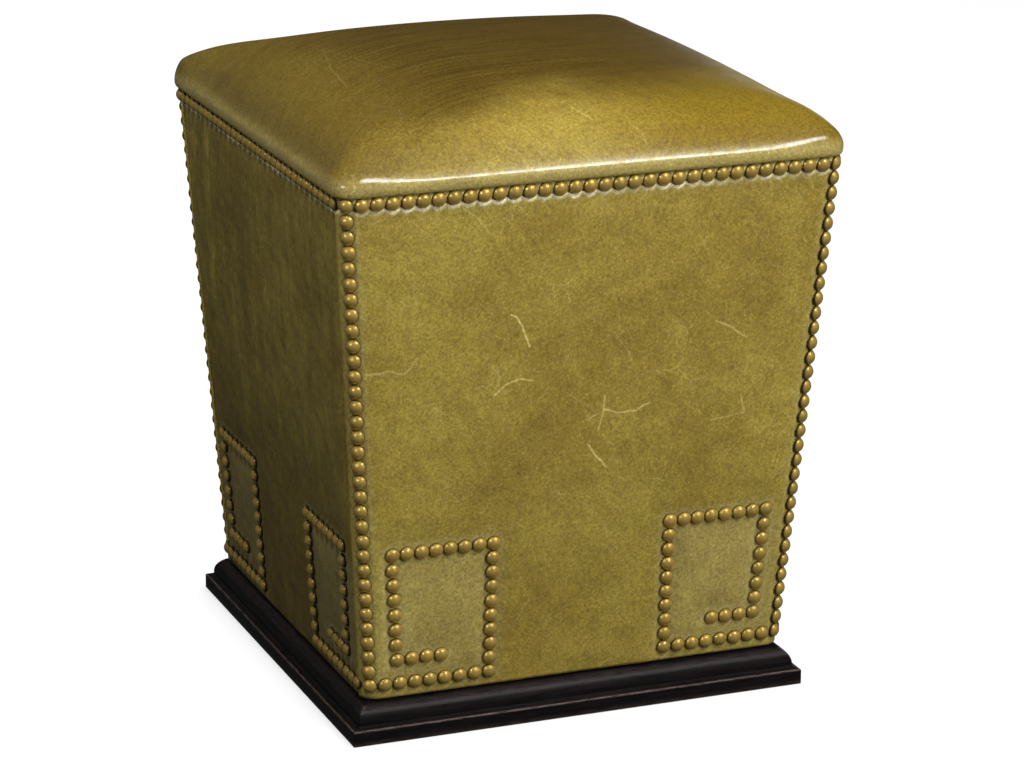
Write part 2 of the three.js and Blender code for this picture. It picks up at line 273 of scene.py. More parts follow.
def new_material(name):
    m = bpy.data.materials.new(name)
    m.use_nodes = True
    m.node_tree.nodes.clear()
    return m


def put(m, kind, settings=None, **inputs):
    """A shader node with its settings and its inputs, which are values or other nodes' outputs."""
    node = m.node_tree.nodes.new("ShaderNode" + kind)
    for key, value in (settings or {}).items():
        setattr(node, key, value)
    for key, value in inputs.items():
        socket = node.inputs[int(key[1:])] if key[0] == "_" else node.inputs[key.replace("__", " ")]
        if isinstance(value, bpy.types.NodeSocket):
            m.node_tree.links.new(value, socket)
        else:
            socket.default_value = value
    return node


def colour(*rgb):
    return (*rgb, 1)


def mix(m, share, first, second, blend="MIX"):
    settings = {"data_type": "RGBA", "blend_type": blend}
    return put(m, "Mix", settings, _0=share, _6=first, _7=second).outputs[2]


def calc(m, operation, first, second=0, clamp=False):
    settings = {"operation": operation, "use_clamp": clamp}
    return put(m, "Math", settings, _0=first, _1=second).outputs[0]


def times(m, first, second):
    return calc(m, "MULTIPLY", first, second)


def vector_calc(m, operation, *values, output="Vector"):
    sockets = {f"_{i}": value for i, value in enumerate(values)}
    return put(m, "VectorMath", {"operation": operation}, **sockets).outputs[output]


def span(m, value, low, high, to_low=0, to_high=1):
    """A value's place between two limits, clamped, as a number between two others."""
    return put(m, "MapRange", Value=value, From__Min=low, From__Max=high,
               To__Min=to_low, To__Max=to_high).outputs["Result"]


def noise(m, at, scale, detail=4, roughness=0.55, distortion=0, output="Fac"):
    return put(m, "TexNoise", Vector=at, Scale=scale, Detail=detail, Roughness=roughness,
               Distortion=distortion).outputs[output]


def cells(m, at, scale, feature="F1"):
    return put(m, "TexVoronoi", {"feature": feature}, Vector=at, Scale=scale).outputs["Distance"]


def place(m, scale=(1, 1, 1), turn=(0, 0, 0), kind="POINT"):
    """Coordinates that stay with the piece, stretched and turned."""
    own = put(m, "TexCoord").outputs["Object"]
    return put(m, "Mapping", {"vector_type": kind}, Vector=own, Scale=scale, Rotation=turn).outputs[0]


def stretched(m, across, along, turn):
    """Coordinates for streaks: features per metre across them and along them, and the way they run."""
    return place(m, (1 / across, 1 / across, 1 / along), turn, "TEXTURE")


def painted(m, name):
    return put(m, "Attribute", {"attribute_name": name}).outputs["Fac"]


def veins(m, at, scale, width):
    """Thin branching lines: the edges of distorted cells, from 0 to 1 on the line."""
    shift = noise(m, at, scale * 1.7, 5, 0.6, output="Color")
    bent = vector_calc(m, "MULTIPLY_ADD", shift, (0.5 / scale,) * 3, at)
    return span(m, cells(m, bent, scale, "DISTANCE_TO_EDGE"), 0, width, 1, 0)


def finish_surface(m, shader):
    put(m, "OutputMaterial", Surface=shader.outputs[0])
    return m


def dressed(m, base, roughness, height=None, strength=0, depth=0, **inputs):
    """The finished material: its colour and roughness over a fine relief, and any further inputs."""
    if height:
        bump = put(m, "Bump", Height=height, Strength=strength, Distance=depth)
        inputs["Normal"] = bump.outputs["Normal"]
    shader = put(m, "BsdfPrincipled", Base__Color=base, Roughness=roughness, **inputs)
    return finish_surface(m, shader)


def stroke(m, at, start, end, width):
    """A scratch from one point to another, from 1 on the line to 0 beside it."""
    start, end = Vector(start), Vector(end)
    run = end - start
    away = vector_calc(m, "SUBTRACT", at, start)
    share = vector_calc(m, "DOT_PRODUCT", away, run / run.length_squared, output="Value")
    share = calc(m, "ADD", share, 0, clamp=True)
    along = put(m, "VectorMath", {"operation": "SCALE"}, _0=run, Scale=share).outputs["Vector"]
    off = vector_calc(m, "DISTANCE", away, along, output="Value")
    return span(m, off, width * 0.3, width, 1, 0)


SCRATCH_WIDTH = 1.1 * MM
SCRATCH_WANDER = 5 * MM

# Scratches that show on the front: across and up in millimetres, then how strong each is
FRONT_SCRATCHES = (
    (((-71, 356), (-66, 353), (-54, 328)), 1),
    (((-83, 289), (-72, 297), (-61, 300), (-50, 298)), 0.75),
    (((-192, 317), (-172, 318), (-160, 315), (-149, 327)), 0.5),
    (((14, 278), (13, 265), (8, 248)), 0.65),
    (((13, 265), (24, 262), (42, 262), (53, 267)), 0.75),
    (((13, 265), (-2, 258)), 0.5),
    (((0, 236), (9, 226), (17, 215)), 0.85),
    (((136, 266), (140, 249), (110, 246)), 0.45),
    (((108, 332), (122, 326), (137, 316)), 0.6),
)


# Scratches on the top: across and back in millimetres, then how strong each is
TOP_SCRATCHES = (
    (((-131, 71), (-148, 0), (-156, -63)), 0.7),
    (((-131, 67), (-120, 8), (-105, -41)), 0.6),
    (((-41, 105), (-54, 65)), 0.6),
    (((2, -101), (12, -124), (20, -149)), 0.7),
    (((38, -198), (42, -203), (44, -210)), 0.7),
    (((-141, -143), (-147, -166)), 0.5),
    (((-6, -174), (5, -190)), 0.5),
    (((-74, -205), (-64, -211)), 0.4),
)


def scratches(m, at, lines_to_draw, plane):
    """Single scratches drawn on a plane, a little wandering, wherever the leather stands in or out."""
    wander = noise(m, at, 60, 3, 0.5, output="Color")
    moved = vector_calc(m, "MULTIPLY_ADD", wander, (SCRATCH_WANDER,) * 3, at)
    moved = vector_calc(m, "SUBTRACT", moved, (SCRATCH_WANDER / 2,) * 3)
    flat = vector_calc(m, "MULTIPLY", moved, (1, 0, 1) if plane == "front" else (1, 1, 0))
    lines = None
    for points, strength in lines_to_draw:
        placed = [(a * MM, 0, b * MM) if plane == "front" else (a * MM, b * MM, 0) for a, b in points]
        for start, end in zip(placed, placed[1:]):
            line = times(m, stroke(m, flat, start, end, SCRATCH_WIDTH), strength)
            lines = line if lines is None else calc(m, "MAXIMUM", lines, line)
    return lines


# Where the painted highlight on the folds under the top row starts and ends, out from each head's middle,
# and how ragged its edge is
CRESCENT_START = NAIL_RADIUS + 1 * MM
CRESCENT_END = NAIL_RADIUS + 3.6 * MM
CRESCENT_RAGGED = 0.9 * MM


def row_crescent_highlights(m, at):
    """Painted highlights on the little folds under each head of the top row, where the leather is drawn up
    round it.
    """
    beat = calc(m, "FRACT", calc(m, "ADD", painted(m, "beat"), 0.5))
    across = times(m, calc(m, "SUBTRACT", beat, 0.5), NAIL_PITCH)
    drop = calc(m, "SUBTRACT", TOP_ROW, put(m, "SeparateXYZ", Vector=at).outputs["Z"])
    away = calc(m, "SQRT", calc(m, "ADD", times(m, across, across), times(m, drop, drop)))
    ragged = span(m, noise(m, at, 260, 3), 0.3, 0.7, -CRESCENT_RAGGED, CRESCENT_RAGGED)
    near = span(m, calc(m, "ADD", away, ragged), CRESCENT_START, CRESCENT_END, 1, 0)
    return times(m, times(m, near, span(m, drop, 1 * MM, 4 * MM)), painted(m, "fold"))


# Colours of the hide
OLIVE_DEEP = colour(0.25, 0.175, 0.03)
OLIVE = colour(0.325, 0.25, 0.046)
PATCH_DARK = colour(0.165, 0.11, 0.022)
PATCH_LIGHT = colour(0.42, 0.34, 0.075)
GRAIN = colour(0.12, 0.085, 0.018)
HAIR = colour(0.5, 0.42, 0.13)
SCRATCH = colour(0.56, 0.47, 0.17)
STREAK_DARK = colour(0.1, 0.078, 0.022)
STREAK_LIGHT = colour(0.52, 0.39, 0.1)
GOLD = colour(0.165, 0.106, 0.0085)
# Dark glazing, and painted shade over the back of the top and the foot of the left and right
GLAZE_AND_SHADE = colour(0.07, 0.041, 0.0055)
# Paleness of stretched hide, with painted light: highlights round the heads, and the lit skirt and band of
# the top
PALE_AND_LIT = colour(0.64, 0.57, 0.27)
# A near-white painted highlight on the folds under the top row
CRESCENT_HIGHLIGHT = colour(0.92, 0.86, 0.56)
PORE = colour(0.085, 0.05, 0.008)


def mottled(m, at, patches):
    """The ground of the hide: broad clouds, dark and light patches, and grain."""
    broad = noise(m, at, 9, 5, 0.6, 0.5)
    grain = noise(m, at, 650, 3, 0.65)
    base = mix(m, span(m, broad, 0.34, 0.66), OLIVE_DEEP, OLIVE)
    base = mix(m, span(m, patches, 0.48, 0.72, 0, 0.6), base, PATCH_DARK)
    base = mix(m, span(m, patches, 0.3, 0.44, 0.4, 0), base, PATCH_LIGHT)
    return mix(m, span(m, grain, 0.5, 0.7, 0, 0.5), base, GRAIN)


def worn_hairs(m):
    """Pale hairs of worn grain, running two ways."""
    one_way = noise(m, stretched(m, 520, 55, (0.9, 0.5, 0)), 1, 3, 0.6, 0.6)
    other_way = noise(m, stretched(m, 520, 60, (-1, 0.8, 0.4)), 1, 3, 0.6, 0.6)
    return calc(m, "MAXIMUM", span(m, one_way, 0.56, 0.76), span(m, other_way, 0.56, 0.76))


def pale_lines(m, at, scratched, plane):
    """Short broken veins, and the single scratches where the piece has them."""
    broken = span(m, noise(m, at, 26, 3), 0.52, 0.66)
    lines = times(m, times(m, veins(m, at, 24, 0.014), broken), 0.55)
    if scratched:
        lines = calc(m, "MAXIMUM", lines, scratches(m, at, scratched, plane))
    return lines


def upright_streaks(m, base):
    """Streaks where the hide was stretched over the left and right."""
    upright = noise(m, stretched(m, 48, 7, (0, 0, 0)), 1, 9, 0.78, 0.8)
    streak = painted(m, "streak")
    base = mix(m, times(m, streak, span(m, upright, 0.34, 0.62, 0.72, 0.22)), base, STREAK_DARK)
    return mix(m, times(m, streak, span(m, upright, 0.58, 0.76, 0, 0.42)), base, STREAK_LIGHT)


def gold_glaze_and_shade(m, at, base):
    """The golden top, and the dark glazing with painted shade, brushed on in streaks."""
    base = mix(m, times(m, painted(m, "gold"), 0.9), base, GOLD)
    across = put(m, "SeparateXYZ", Vector=at).outputs["X"]
    brushed = put(m, "CombineXYZ", X=times(m, painted(m, "arc"), 210), Y=times(m, across, 9))
    streaks = noise(m, brushed.outputs[0], 1, 6, 0.65, 0.4)
    glaze_and_shade = times(m, painted(m, "glaze_and_shade"), span(m, streaks, 0.3, 0.66, 0.74, 1.08))
    return mix(m, calc(m, "MINIMUM", glaze_and_shade, 1), base, GLAZE_AND_SHADE)


def pores_and_specks(m, at, base):
    """Dark pores where it is golden, and fine dark and light specks over all of it."""
    pores = span(m, cells(m, at, 360), 0.15, 0.32, 0.5, 0)
    specks = span(m, noise(m, at, 380, 6, 0.75), 0.34, 0.66, 0.64, 1.34)
    return mix(m, 1, mix(m, times(m, pores, painted(m, "gold")), base, PORE), specks, "MULTIPLY")


def leather_material(name, scratched=None, plane="front"):
    """Distressed olive-gold hide: mottled, faintly veined, fibrous, darker where glazing and painted shade
    lie, lighter where paleness and painted light lie.
    """
    m = new_material(name)
    at = place(m)
    patches = noise(m, at, 50, 8, 0.72, 0.4)
    lines = pale_lines(m, at, scratched, plane)
    base = mix(m, times(m, worn_hairs(m), 0.42), mottled(m, at, patches), HAIR)
    base = upright_streaks(m, mix(m, times(m, lines, 0.85), base, SCRATCH))
    base = mix(m, times(m, painted(m, "pale_and_lit"), 0.8), gold_glaze_and_shade(m, at, base), PALE_AND_LIT)
    base = pores_and_specks(m, at, mix(m, row_crescent_highlights(m, at), base, CRESCENT_HIGHLIGHT))
    height = calc(m, "ADD", times(m, cells(m, at, 780), 0.4), times(m, patches, 0.8))
    height = calc(m, "SUBTRACT", height, times(m, lines, 0.3))
    gloss = {"Specular__IOR__Level": 0.2}
    if plane == "top":
        # The edge of the cushion is polished by use, in places
        worn = span(m, noise(m, at, 120, 4), 0.35, 0.6, 0.45, 1)
        gloss = {"Specular__IOR__Level": 0.1, "Coat__Weight": times(m, painted(m, "edge"), worn),
                 "Coat__Roughness": 0.17, "Coat__IOR": 1.9}
    return dressed(m, base, span(m, patches, 0.3, 0.7, 0.34, 0.46), height, 0.35, 0.5 * MM, **gloss)


def brass_material():
    """Antique brass: golden on the crown of each head, with brown patina and painted shade at the rim."""
    m = new_material("nail_brass_aged")
    at = place(m)
    spots = noise(m, at, 420, 4, 0.6)
    bright = mix(m, painted(m, "tone"), colour(0.74, 0.5, 0.118), colour(0.62, 0.44, 0.108))
    # Near-black at the rim: patina, with painted shade where each head meets the leather and its neighbours
    patina_and_shade = calc(m, "ADD", painted(m, "rim"), span(m, spots, 0.5, 0.8, 0, 0.08), clamp=True)
    base = mix(m, patina_and_shade, bright, colour(0.022, 0.012, 0.004))
    metallic = span(m, patina_and_shade, 0, 1, 0.7, 0.35)
    roughness = span(m, spots, 0.3, 0.7, 0.3, 0.38)
    return dressed(m, base, roughness, noise(m, at, 900, 3), 0.05, 0.2 * MM, Metallic=metallic)


def espresso_material():
    """Near-black stained wood under satin lacquer, lighter along the worn arrises, where painted highlights
    also lie.
    """
    m = new_material("stained_wood_espresso")
    fibres = noise(m, place(m, (26, 26, 420)), 1, 6, 0.7, 0.2)
    pores = noise(m, place(m, (90, 90, 1500)), 1, 3, 0.6)
    base = mix(m, span(m, fibres, 0.35, 0.7), colour(0.003, 0.0026, 0.003), colour(0.011, 0.0078, 0.0078))
    # Lighter along the arrises and on the ovolo's shoulder: wear, and painted highlights
    worn = times(m, painted(m, "wear_and_highlight"), span(m, pores, 0.35, 0.65))
    base = mix(m, worn, base, colour(0.13, 0.09, 0.075))
    relief = calc(m, "ADD", fibres, pores)
    return dressed(m, base, span(m, pores, 0.3, 0.7, 0.26, 0.4), relief, 0.25, 0.3 * MM,
                   Specular__IOR__Level=0.16)


def plain_wood_material(name, light, dark, scale):
    """Bare softwood or plywood, with grain along the board and a few darker streaks."""
    m = new_material(name)
    rings = noise(m, place(m, scale), 1, 6, 0.65, 0.8)
    fibres = noise(m, place(m, tuple(6 * s for s in scale)), 1, 3)
    base = mix(m, span(m, rings, 0.35, 0.68), colour(*light), colour(*dark))
    base = mix(m, span(m, fibres, 0.5, 0.8, 0, 0.35), base, colour(*dark))
    return dressed(m, base, span(m, rings, 0.3, 0.7, 0.62, 0.78), fibres, 0.3, 0.3 * MM)


def soft_material(name, light, dark, scale, depth):
    """Foam, wadding or woven cloth: a fine matt texture."""
    m = new_material(name)
    at = place(m)
    lumps = cells(m, at, scale)
    cloud = noise(m, at, scale / 12, 4)
    base = mix(m, span(m, calc(m, "ADD", lumps, cloud), 0.5, 1.3), colour(*dark), colour(*light))
    return dressed(m, base, 0.95, lumps, 0.6, depth)


def steel_material():
    m = new_material("screw_steel_zinc")
    clouds = noise(m, place(m), 300, 4)
    base = mix(m, clouds, colour(0.42, 0.41, 0.38), colour(0.58, 0.57, 0.52))
    return dressed(m, base, span(m, clouds, 0.3, 0.7, 0.3, 0.5), Metallic=1)


leather = leather_material("leather_olive")
leather_scratched = leather_material("leather_olive_scratched", FRONT_SCRATCHES)
leather_brushed = leather_material("leather_olive_brushed", TOP_SCRATCHES, "top")
brass = brass_material()
espresso = espresso_material()
softwood = plain_wood_material("frame_wood_planed", (0.5, 0.33, 0.17), (0.34, 0.2, 0.09), (14, 14, 90))
plywood = plain_wood_material("plywood_birch", (0.6, 0.43, 0.25), (0.46, 0.3, 0.15), (12, 45, 12))
foam = soft_material("foam_open_cell", (0.8, 0.72, 0.45), (0.62, 0.53, 0.28), 900, 0.5 * MM)
wadding = soft_material("wadding_polyester", (0.86, 0.86, 0.83), (0.66, 0.66, 0.63), 350, 1 * MM)
dust_weave = soft_material("dust_cloth_weave", (0.02, 0.02, 0.022), (0.008, 0.008, 0.009), 1400, 0.2 * MM)
zinc = steel_material()


# Side leather

LEATHER_STEP = 2.2 * MM
CORNER_COLUMNS = 14
GROOVE_DEPTH = 1.5 * MM
GROOVE_REACH = 11 * MM
PUFF_HEIGHT = 2.2 * MM
PUFF_REACH = 40 * MM
HEM_RISE = 0.9 * MM
HEM_REACH = 3 * MM
HEM_WIDTH = 7 * MM
HEM_DIP = 1.1 * MM
END_REACH = 12 * MM
# Width of the painted highlight round each head
HALO_HIGHLIGHT_WIDTH = 3.8 * MM
TUCK = LEATHER + SEAM
TUCK_FOOT = SKIRT_FOOT - 3 * MM
PUCKER_RISE = 0.7 * MM
PUCKER_RADIUS = 8.6 * MM
PUCKER_WIDTH = 1.5 * MM

# A darker smudge low on the front and back: its strength, its middle along and up, and its reach
SMUDGE = 0.14
SMUDGE_MIDDLE = (30 * MM, 140 * MM)
SMUDGE_REACH = (110 * MM, 70 * MM)

# Painted shade: the left and right darken from one height down to another
SHADE = 0.65
SHADE_TOP = 300 * MM
SHADE_FOOT = 80 * MM


def nearest_nail(along, z, places):
    """Distance from each point to its nearest nail, and which nail that is."""
    best = np.full(along.shape, 1.0)
    which = np.zeros(along.shape, int)
    for i, (a, h) in enumerate(places):
        distance = np.hypot(along - a, z - h)
        closer = distance < best
        best[closer] = distance[closer]
        which[closer] = i
    return best, which


def leather_relief(along, z, turns):
    """How far the leather stands out, pressed in along the nails and puffed between, and its paleness with
    painted highlights.
    """
    places = side_places(turns)
    distance, which = nearest_nail(along, z, places)
    groove = -GROOVE_DEPTH * np.exp(-(distance / GROOVE_REACH) ** 2)
    puff = PUFF_HEIGHT * (1 - np.exp(-(np.maximum(distance - NAIL_RADIUS, 0) / PUFF_REACH) ** 1.2))
    puff = puff * np.clip((z - LEATHER_FOOT) / (18 * MM), 0, 1) ** 0.5
    sag = 0.5 * MM * wave_noise(31 + turns, 9, 60 * MM, 190 * MM, along, z)
    ripple = 0.16 * MM * wave_noise(47 + turns, 14, 14 * MM, 40 * MM, along, z)
    free = ramp(NAIL_RADIUS, 30 * MM, distance)
    relief = groove + puff + (sag + ripple) * free
    # Little folds that the nails of the top row draw up under their heads
    row_count = len(row_places(side_turn(turns), turns % 2 == 0))
    row = places[:row_count, 0]
    strength = np.random.default_rng(5 + turns).uniform(0.35, 1.0, len(places))
    strength[:row_count] *= np.clip(0.55 + 0.6 * wave_noise(61 + turns, 5, 120 * MM, 300 * MM, row), 0.15, 1)
    ring = np.exp(-((distance - PUCKER_RADIUS) / PUCKER_WIDTH) ** 2)
    fall = (places[which][..., 1] - z) / np.maximum(distance, 1e-6)
    pucker = np.where(which < row_count, ring * ramp(0.45, 0.95, fall) * strength[which], 0)
    relief += PUCKER_RISE * pucker
    # Paleness: painted highlights on the folds under the top row and in a ring round each head, and a paler,
    # smoother hide inside the keys
    halo_highlight = np.exp(-((distance - NAIL_RADIUS) / HALO_HIGHLIGHT_WIDTH) ** 2) * (distance > NAIL_RADIUS * 0.8)
    pale_and_lit = np.clip(0.3 * pucker + 0.22 * halo_highlight + 0.16 * inside_keys(along, z, turns), 0, 1)
    return relief * ramp(LEATHER_FOOT - 4 * MM, LEATHER_FOOT + 4 * MM, z), pale_and_lit


def row_beat(along, turns):
    """The place along the top row in nails, whole at each head."""
    places = row_places(side_turn(turns), True)
    return (along - places[0][0]) / (places[1][0] - places[0][0])


def fold_highlight_strength(along, turns):
    """How strong the painted highlight on the folds under the top row's heads is, from 0 to 1."""
    strength = 0.5 + 0.3 * wave_noise(83 + turns, 8, 40 * MM, 150 * MM, along)
    if turns == 0:
        strength = strength + 0.55 * np.exp(-((along + 70 * MM) / (90 * MM)) ** 2)
    return np.clip(strength, 0.1, 1)


def inside_keys(along, z, turns):
    """From 0 to 1 inside the two nailed keys, where the leather has stayed smoother and paler."""
    outer = corner_along(BOTTOM_ROW, side_turn(turns))
    across = np.minimum(np.abs(along) - (outer - key_width(turns)), outer - np.abs(along))
    upright = np.minimum(z - BOTTOM_ROW, BOTTOM_ROW + KEY_HEIGHT - z)
    return ramp(2 * MM, 14 * MM, np.minimum(across, upright))


def side_smudge_and_shade(along, z, wrapped):
    """How dark the hide is painted: a low smudge on the front and back, and painted shade at the foot of the
    left and right.
    """
    if not wrapped:
        return SHADE * ramp(-SHADE_TOP, -SHADE_FOOT, -z)
    across, up = (along - SMUDGE_MIDDLE[0]) / SMUDGE_REACH[0], (z - SMUDGE_MIDDLE[1]) / SMUDGE_REACH[1]
    return SMUDGE * np.exp(-across ** 2 - up ** 2)


def panel_heights():
    count = round((TUCK_FOOT - LEATHER_FOOT) / LEATHER_STEP)
    low = np.linspace(LEATHER_FOOT, TUCK_FOOT, count + 1)
    return np.concatenate([low, np.linspace(TUCK_FOOT, LEATHER_TOP, 8)[1:]])


def side_leather(turns):
    """Leather on one side: front and back wrap the corners to a hem, left and right lie between the hems."""
    wrapped = turns % 2 == 0
    heights = panel_heights()
    z = heights[:, None]
    flat = face_half(z) - CORNER_RADIUS
    shares = np.linspace(-1, 1, round(SEAT_WIDTH / LEATHER_STEP) + 1)[None, :]
    if wrapped:
        corner = flat + CORNER_RADIUS * np.linspace(0, QUARTER, CORNER_COLUMNS + 1)[None, 1:]
        along = np.concatenate([-corner[:, ::-1], flat * shares, corner], axis=1)
    else:
        along = (flat - SEAM) * shares
    half = along[:, -1:]
    z = np.broadcast_to(z, along.shape)
    points, out = on_leather(along, z)
    relief, pale_and_lit = leather_relief(along, z, turns)
    to_end = half - np.abs(along)
    if wrapped:
        fold = np.sin(np.clip(to_end / HEM_REACH, 0, 1) * QUARTER)
        edge = HEM_RISE * fold * np.exp(-(to_end / HEM_WIDTH) ** 2)
    else:
        edge = -HEM_DIP * np.exp(-(to_end / HEM_REACH) ** 2)
    relief = relief * ramp(0, END_REACH, to_end) + edge
    tucked = np.minimum(relief, 0) - TUCK * ramp(TUCK_FOOT, TUCK_FOOT + 3 * MM, z)
    relief = np.where(z > TUCK_FOOT, tucked, relief)
    outer = points + out * relief[..., None]
    inner = points - out * (LEATHER + TUCK * (z > TUCK_FOOT))[..., None]
    body, faces = sheet_body(quarter_turn(outer, turns), quarter_turn(inner, turns))
    zeros = np.zeros(along.size)
    # Values for the material: paleness with painted highlights, which sides take the upright streaks, the
    # smudge and painted shade, and the strength of the painted highlights on the folds
    shown = {"pale_and_lit": pale_and_lit, "streak": zeros if wrapped else zeros + 1, "glaze_and_shade": side_smudge_and_shade(along, z, wrapped),
             "fold": fold_highlight_strength(along, turns)}
    attributes = {key: np.concatenate([values.ravel(), zeros]) for key, values in shown.items()}
    attributes["beat"] = np.tile(row_beat(along, turns).ravel(), 2)
    side = SIDES[turns]
    material = leather_scratched if side == "front" else leather
    piece = add_piece(f"leather_{side}", body, faces, material, f"side_cover_{side}", attributes)


# Crowned top

SKIRT_TOP = TOP_ROW + 4.8 * MM
SKIRT_TUCK = 1.6 * MM
SKIRT_RINGS = 5
SKIRT_FULLNESS = 0.6
# How far in from the edge each ring of the crown lies, in millimetres
RING_REACHES = (0, 0.2, 0.7, 1.64, 2.6, 3.6, 4.8, 6.6, 9, 12, 15.5, 20, 25, 31, 38, 46, 54, 63, 72, 82, 93,
                105, 118, 132, 147, 162, 177, 190, 200, 207)
SETTLED_REACH = 100 * MM
SETTLED_BY = (1.5 * MM, -1.5 * MM, -2.5 * MM)
PUFFED_REACH = 42 * MM
PUFFED_BY = (((-1, 1), 10 * MM), ((1, -1), 4 * MM), ((1, 1), 4 * MM), ((-1, -1), 3 * MM))
CAP = 5 * MM
CLOTH_PRESSURE = 2.5
CLOTH_STIFFNESS = 30.0
CLOTH_FRAMES = 12
EVENING_ROUNDS = 40
PINNED_RINGS = 9
LOOSE_FROM = 3 * MM
LOOSE_AT = 45 * MM
# The arc that the glazing and painted shade on the top follow, and where they begin and are full behind it
GLAZE_SHADE_EDGE = -168 * MM
GLAZE_SHADE_FRONT = -40 * MM
GLAZE_SHADE_BACK = 75 * MM


def rounded_outline(half, radius, flat_steps, corner_steps):
    """Points round a square with rounded corners, counter-clockwise from above."""
    flat = half - radius
    points = []
    for c, s in QUARTERS:
        local = [(flat * (2 * i / flat_steps - 1), -half) for i in range(flat_steps + 1)]
        for i in range(1, corner_steps):
            turn = QUARTER * (i / corner_steps - 1)
            local.append((flat + radius * math.cos(turn), radius * math.sin(turn) - flat))
        points += [(c * x - s * y, s * x + c * y) for x, y in local]
    return np.array(points)


def crown_height(x, y, reach, half, sunk):
    """Height of the top over a point whose ring lies this far in from the edge, less what it is sunk."""
    turned = EDGE_RADIUS * (1 - math.cos(EDGE_TURN))
    if reach < turned:
        shoulder = math.sqrt(EDGE_RADIUS ** 2 - (EDGE_RADIUS - reach) ** 2)
    else:
        climb = min((reach - turned) / SHOULDER_WIDTH, 1)
        shoulder = EDGE_RADIUS * math.sin(EDGE_TURN) + SHOULDER_RISE * (1 - (1 - climb) ** SHOULDER_POWER)
    fall = np.maximum(1 - (x / half) ** 2, 0) * np.maximum(1 - (y / half) ** 2, 0)
    rise = shoulder + CROWN_RISE * fall
    return BULGE + rise * (1 - sunk / (SHOULDER_RISE + CROWN_RISE))


def settle(points):
    """Puffs the four corners at the edge, the back left one most, which has settled behind its puff."""
    away = np.hypot(points[:, 0] + SEAT_WIDTH / 2, points[:, 1] - SEAT_WIDTH / 2)
    share = np.exp(-(away / SETTLED_REACH) ** 2) * ramp(BULGE, BULGE + 25 * MM, points[:, 2])
    points = points + share[:, None] * np.array(SETTLED_BY)
    above = ramp(BULGE, BULGE + 8 * MM, points[:, 2])
    for (across, back), lift in PUFFED_BY:
        away = np.hypot(points[:, 0] - across * SEAT_WIDTH / 2, points[:, 1] - back * SEAT_WIDTH / 2)
        points[:, 2] += lift * np.exp(-(away / PUFFED_REACH) ** 2) * above
    return points


def cushion_rings(inset, flat_steps=44, corner_steps=6):
    """Rings from the skirt under the nails up to near the middle of the crown."""
    half = SEAT_WIDTH / 2 + CUSHION_OVERHANG - inset
    skirt_half = face_half(SKIRT_TOP) - inset
    plan = [(face_half(z) - inset, CORNER_RADIUS - inset, z) for z in np.linspace(SKIRT_FOOT, SKIRT_TOP, 4)]
    plan.append((skirt_half - SKIRT_TUCK, CORNER_RADIUS - inset - SKIRT_TUCK, SKIRT_TOP + 0.5 * MM))
    for i in range(SKIRT_RINGS):
        turn = QUARTER * i / SKIRT_RINGS
        out = skirt_half + (half - skirt_half) * math.sin(turn) ** SKIRT_FULLNESS
        radius = CORNER_RADIUS + (CUSHION_RADIUS - CORNER_RADIUS) * math.sin(turn) - inset
        plan.append((out, radius, BULGE - (BULGE - SKIRT_TOP - 1 * MM) * math.cos(turn)))
    rings = []
    for out, radius, z in plan:
        outline = rounded_outline(out, radius, flat_steps, corner_steps)
        rings.append(np.column_stack([outline, np.full(len(outline), z)]))
    edge = rounded_outline(half, CUSHION_RADIUS - inset, flat_steps, corner_steps)
    for reach in RING_REACHES:
        share = 1 - reach * MM / half
        x, y = edge[:, 0] * share, edge[:, 1] * share
        rings.append(settle(np.column_stack([x, y, crown_height(x, y, reach * MM, half, inset)])))
    return rings


def simulate_cushion(points, faces, pinned):
    """Swells the leather top with a short cloth simulation and gives back its points."""
    mesh = new_mesh("cushion_start", points, faces)
    cushion = new_object("cushion_start", mesh)
    group = cushion.vertex_groups.new(name="pin")
    for i, weight in enumerate(pinned):
        group.add([i], float(weight), "REPLACE")
    cloth = cushion.modifiers.new("Cloth", "CLOTH")
    settings = cloth.settings
    settings.quality = 6
    settings.mass = 0.4
    settings.tension_stiffness = CLOTH_STIFFNESS
    settings.compression_stiffness = CLOTH_STIFFNESS
    settings.shear_stiffness = CLOTH_STIFFNESS / 3
    settings.bending_stiffness = 2
    settings.use_pressure = True
    settings.uniform_pressure_force = CLOTH_PRESSURE
    settings.vertex_group_mass = "pin"
    settings.pin_stiffness = 1
    settings.effector_weights.gravity = 0
    cloth.collision_settings.use_collision = False
    scene = bpy.context.scene
    for step in range(1, CLOTH_FRAMES + 1):
        scene.frame_set(step)
    evaluated = cushion.evaluated_get(bpy.context.evaluated_depsgraph_get())
    moved = np.array([v.co for v in evaluated.data.vertices])
    scene.frame_set(1)
    bpy.data.objects.remove(cushion)
    bpy.data.meshes.remove(mesh)
    return moved


def brush_arc(x, y):
    """How far behind the soft front of the glazing and painted shade a point lies, which its brush marks
    follow.
    """
    right = np.maximum(x - 30 * MM, 0)
    left = np.maximum(-x - 40 * MM, 0)
    return y - GLAZE_SHADE_EDGE - 3.2 * right ** 2 + 4.5 * left ** 2


def top_glaze_and_shade(x, y):
    """Glazing and painted shade over the back and left of the top, up to a soft arc, thinner on the left."""
    drift = 10 * MM * wave_noise(71, 10, 70 * MM, 260 * MM, x, y)
    drift = drift + 5 * MM * wave_noise(73, 12, 20 * MM, 60 * MM, x, y)
    thin = 0.97 - 0.36 * ramp(60 * MM, 190 * MM, -x)
    return ramp(GLAZE_SHADE_FRONT, GLAZE_SHADE_BACK, brush_arc(x, y) + drift) * thin


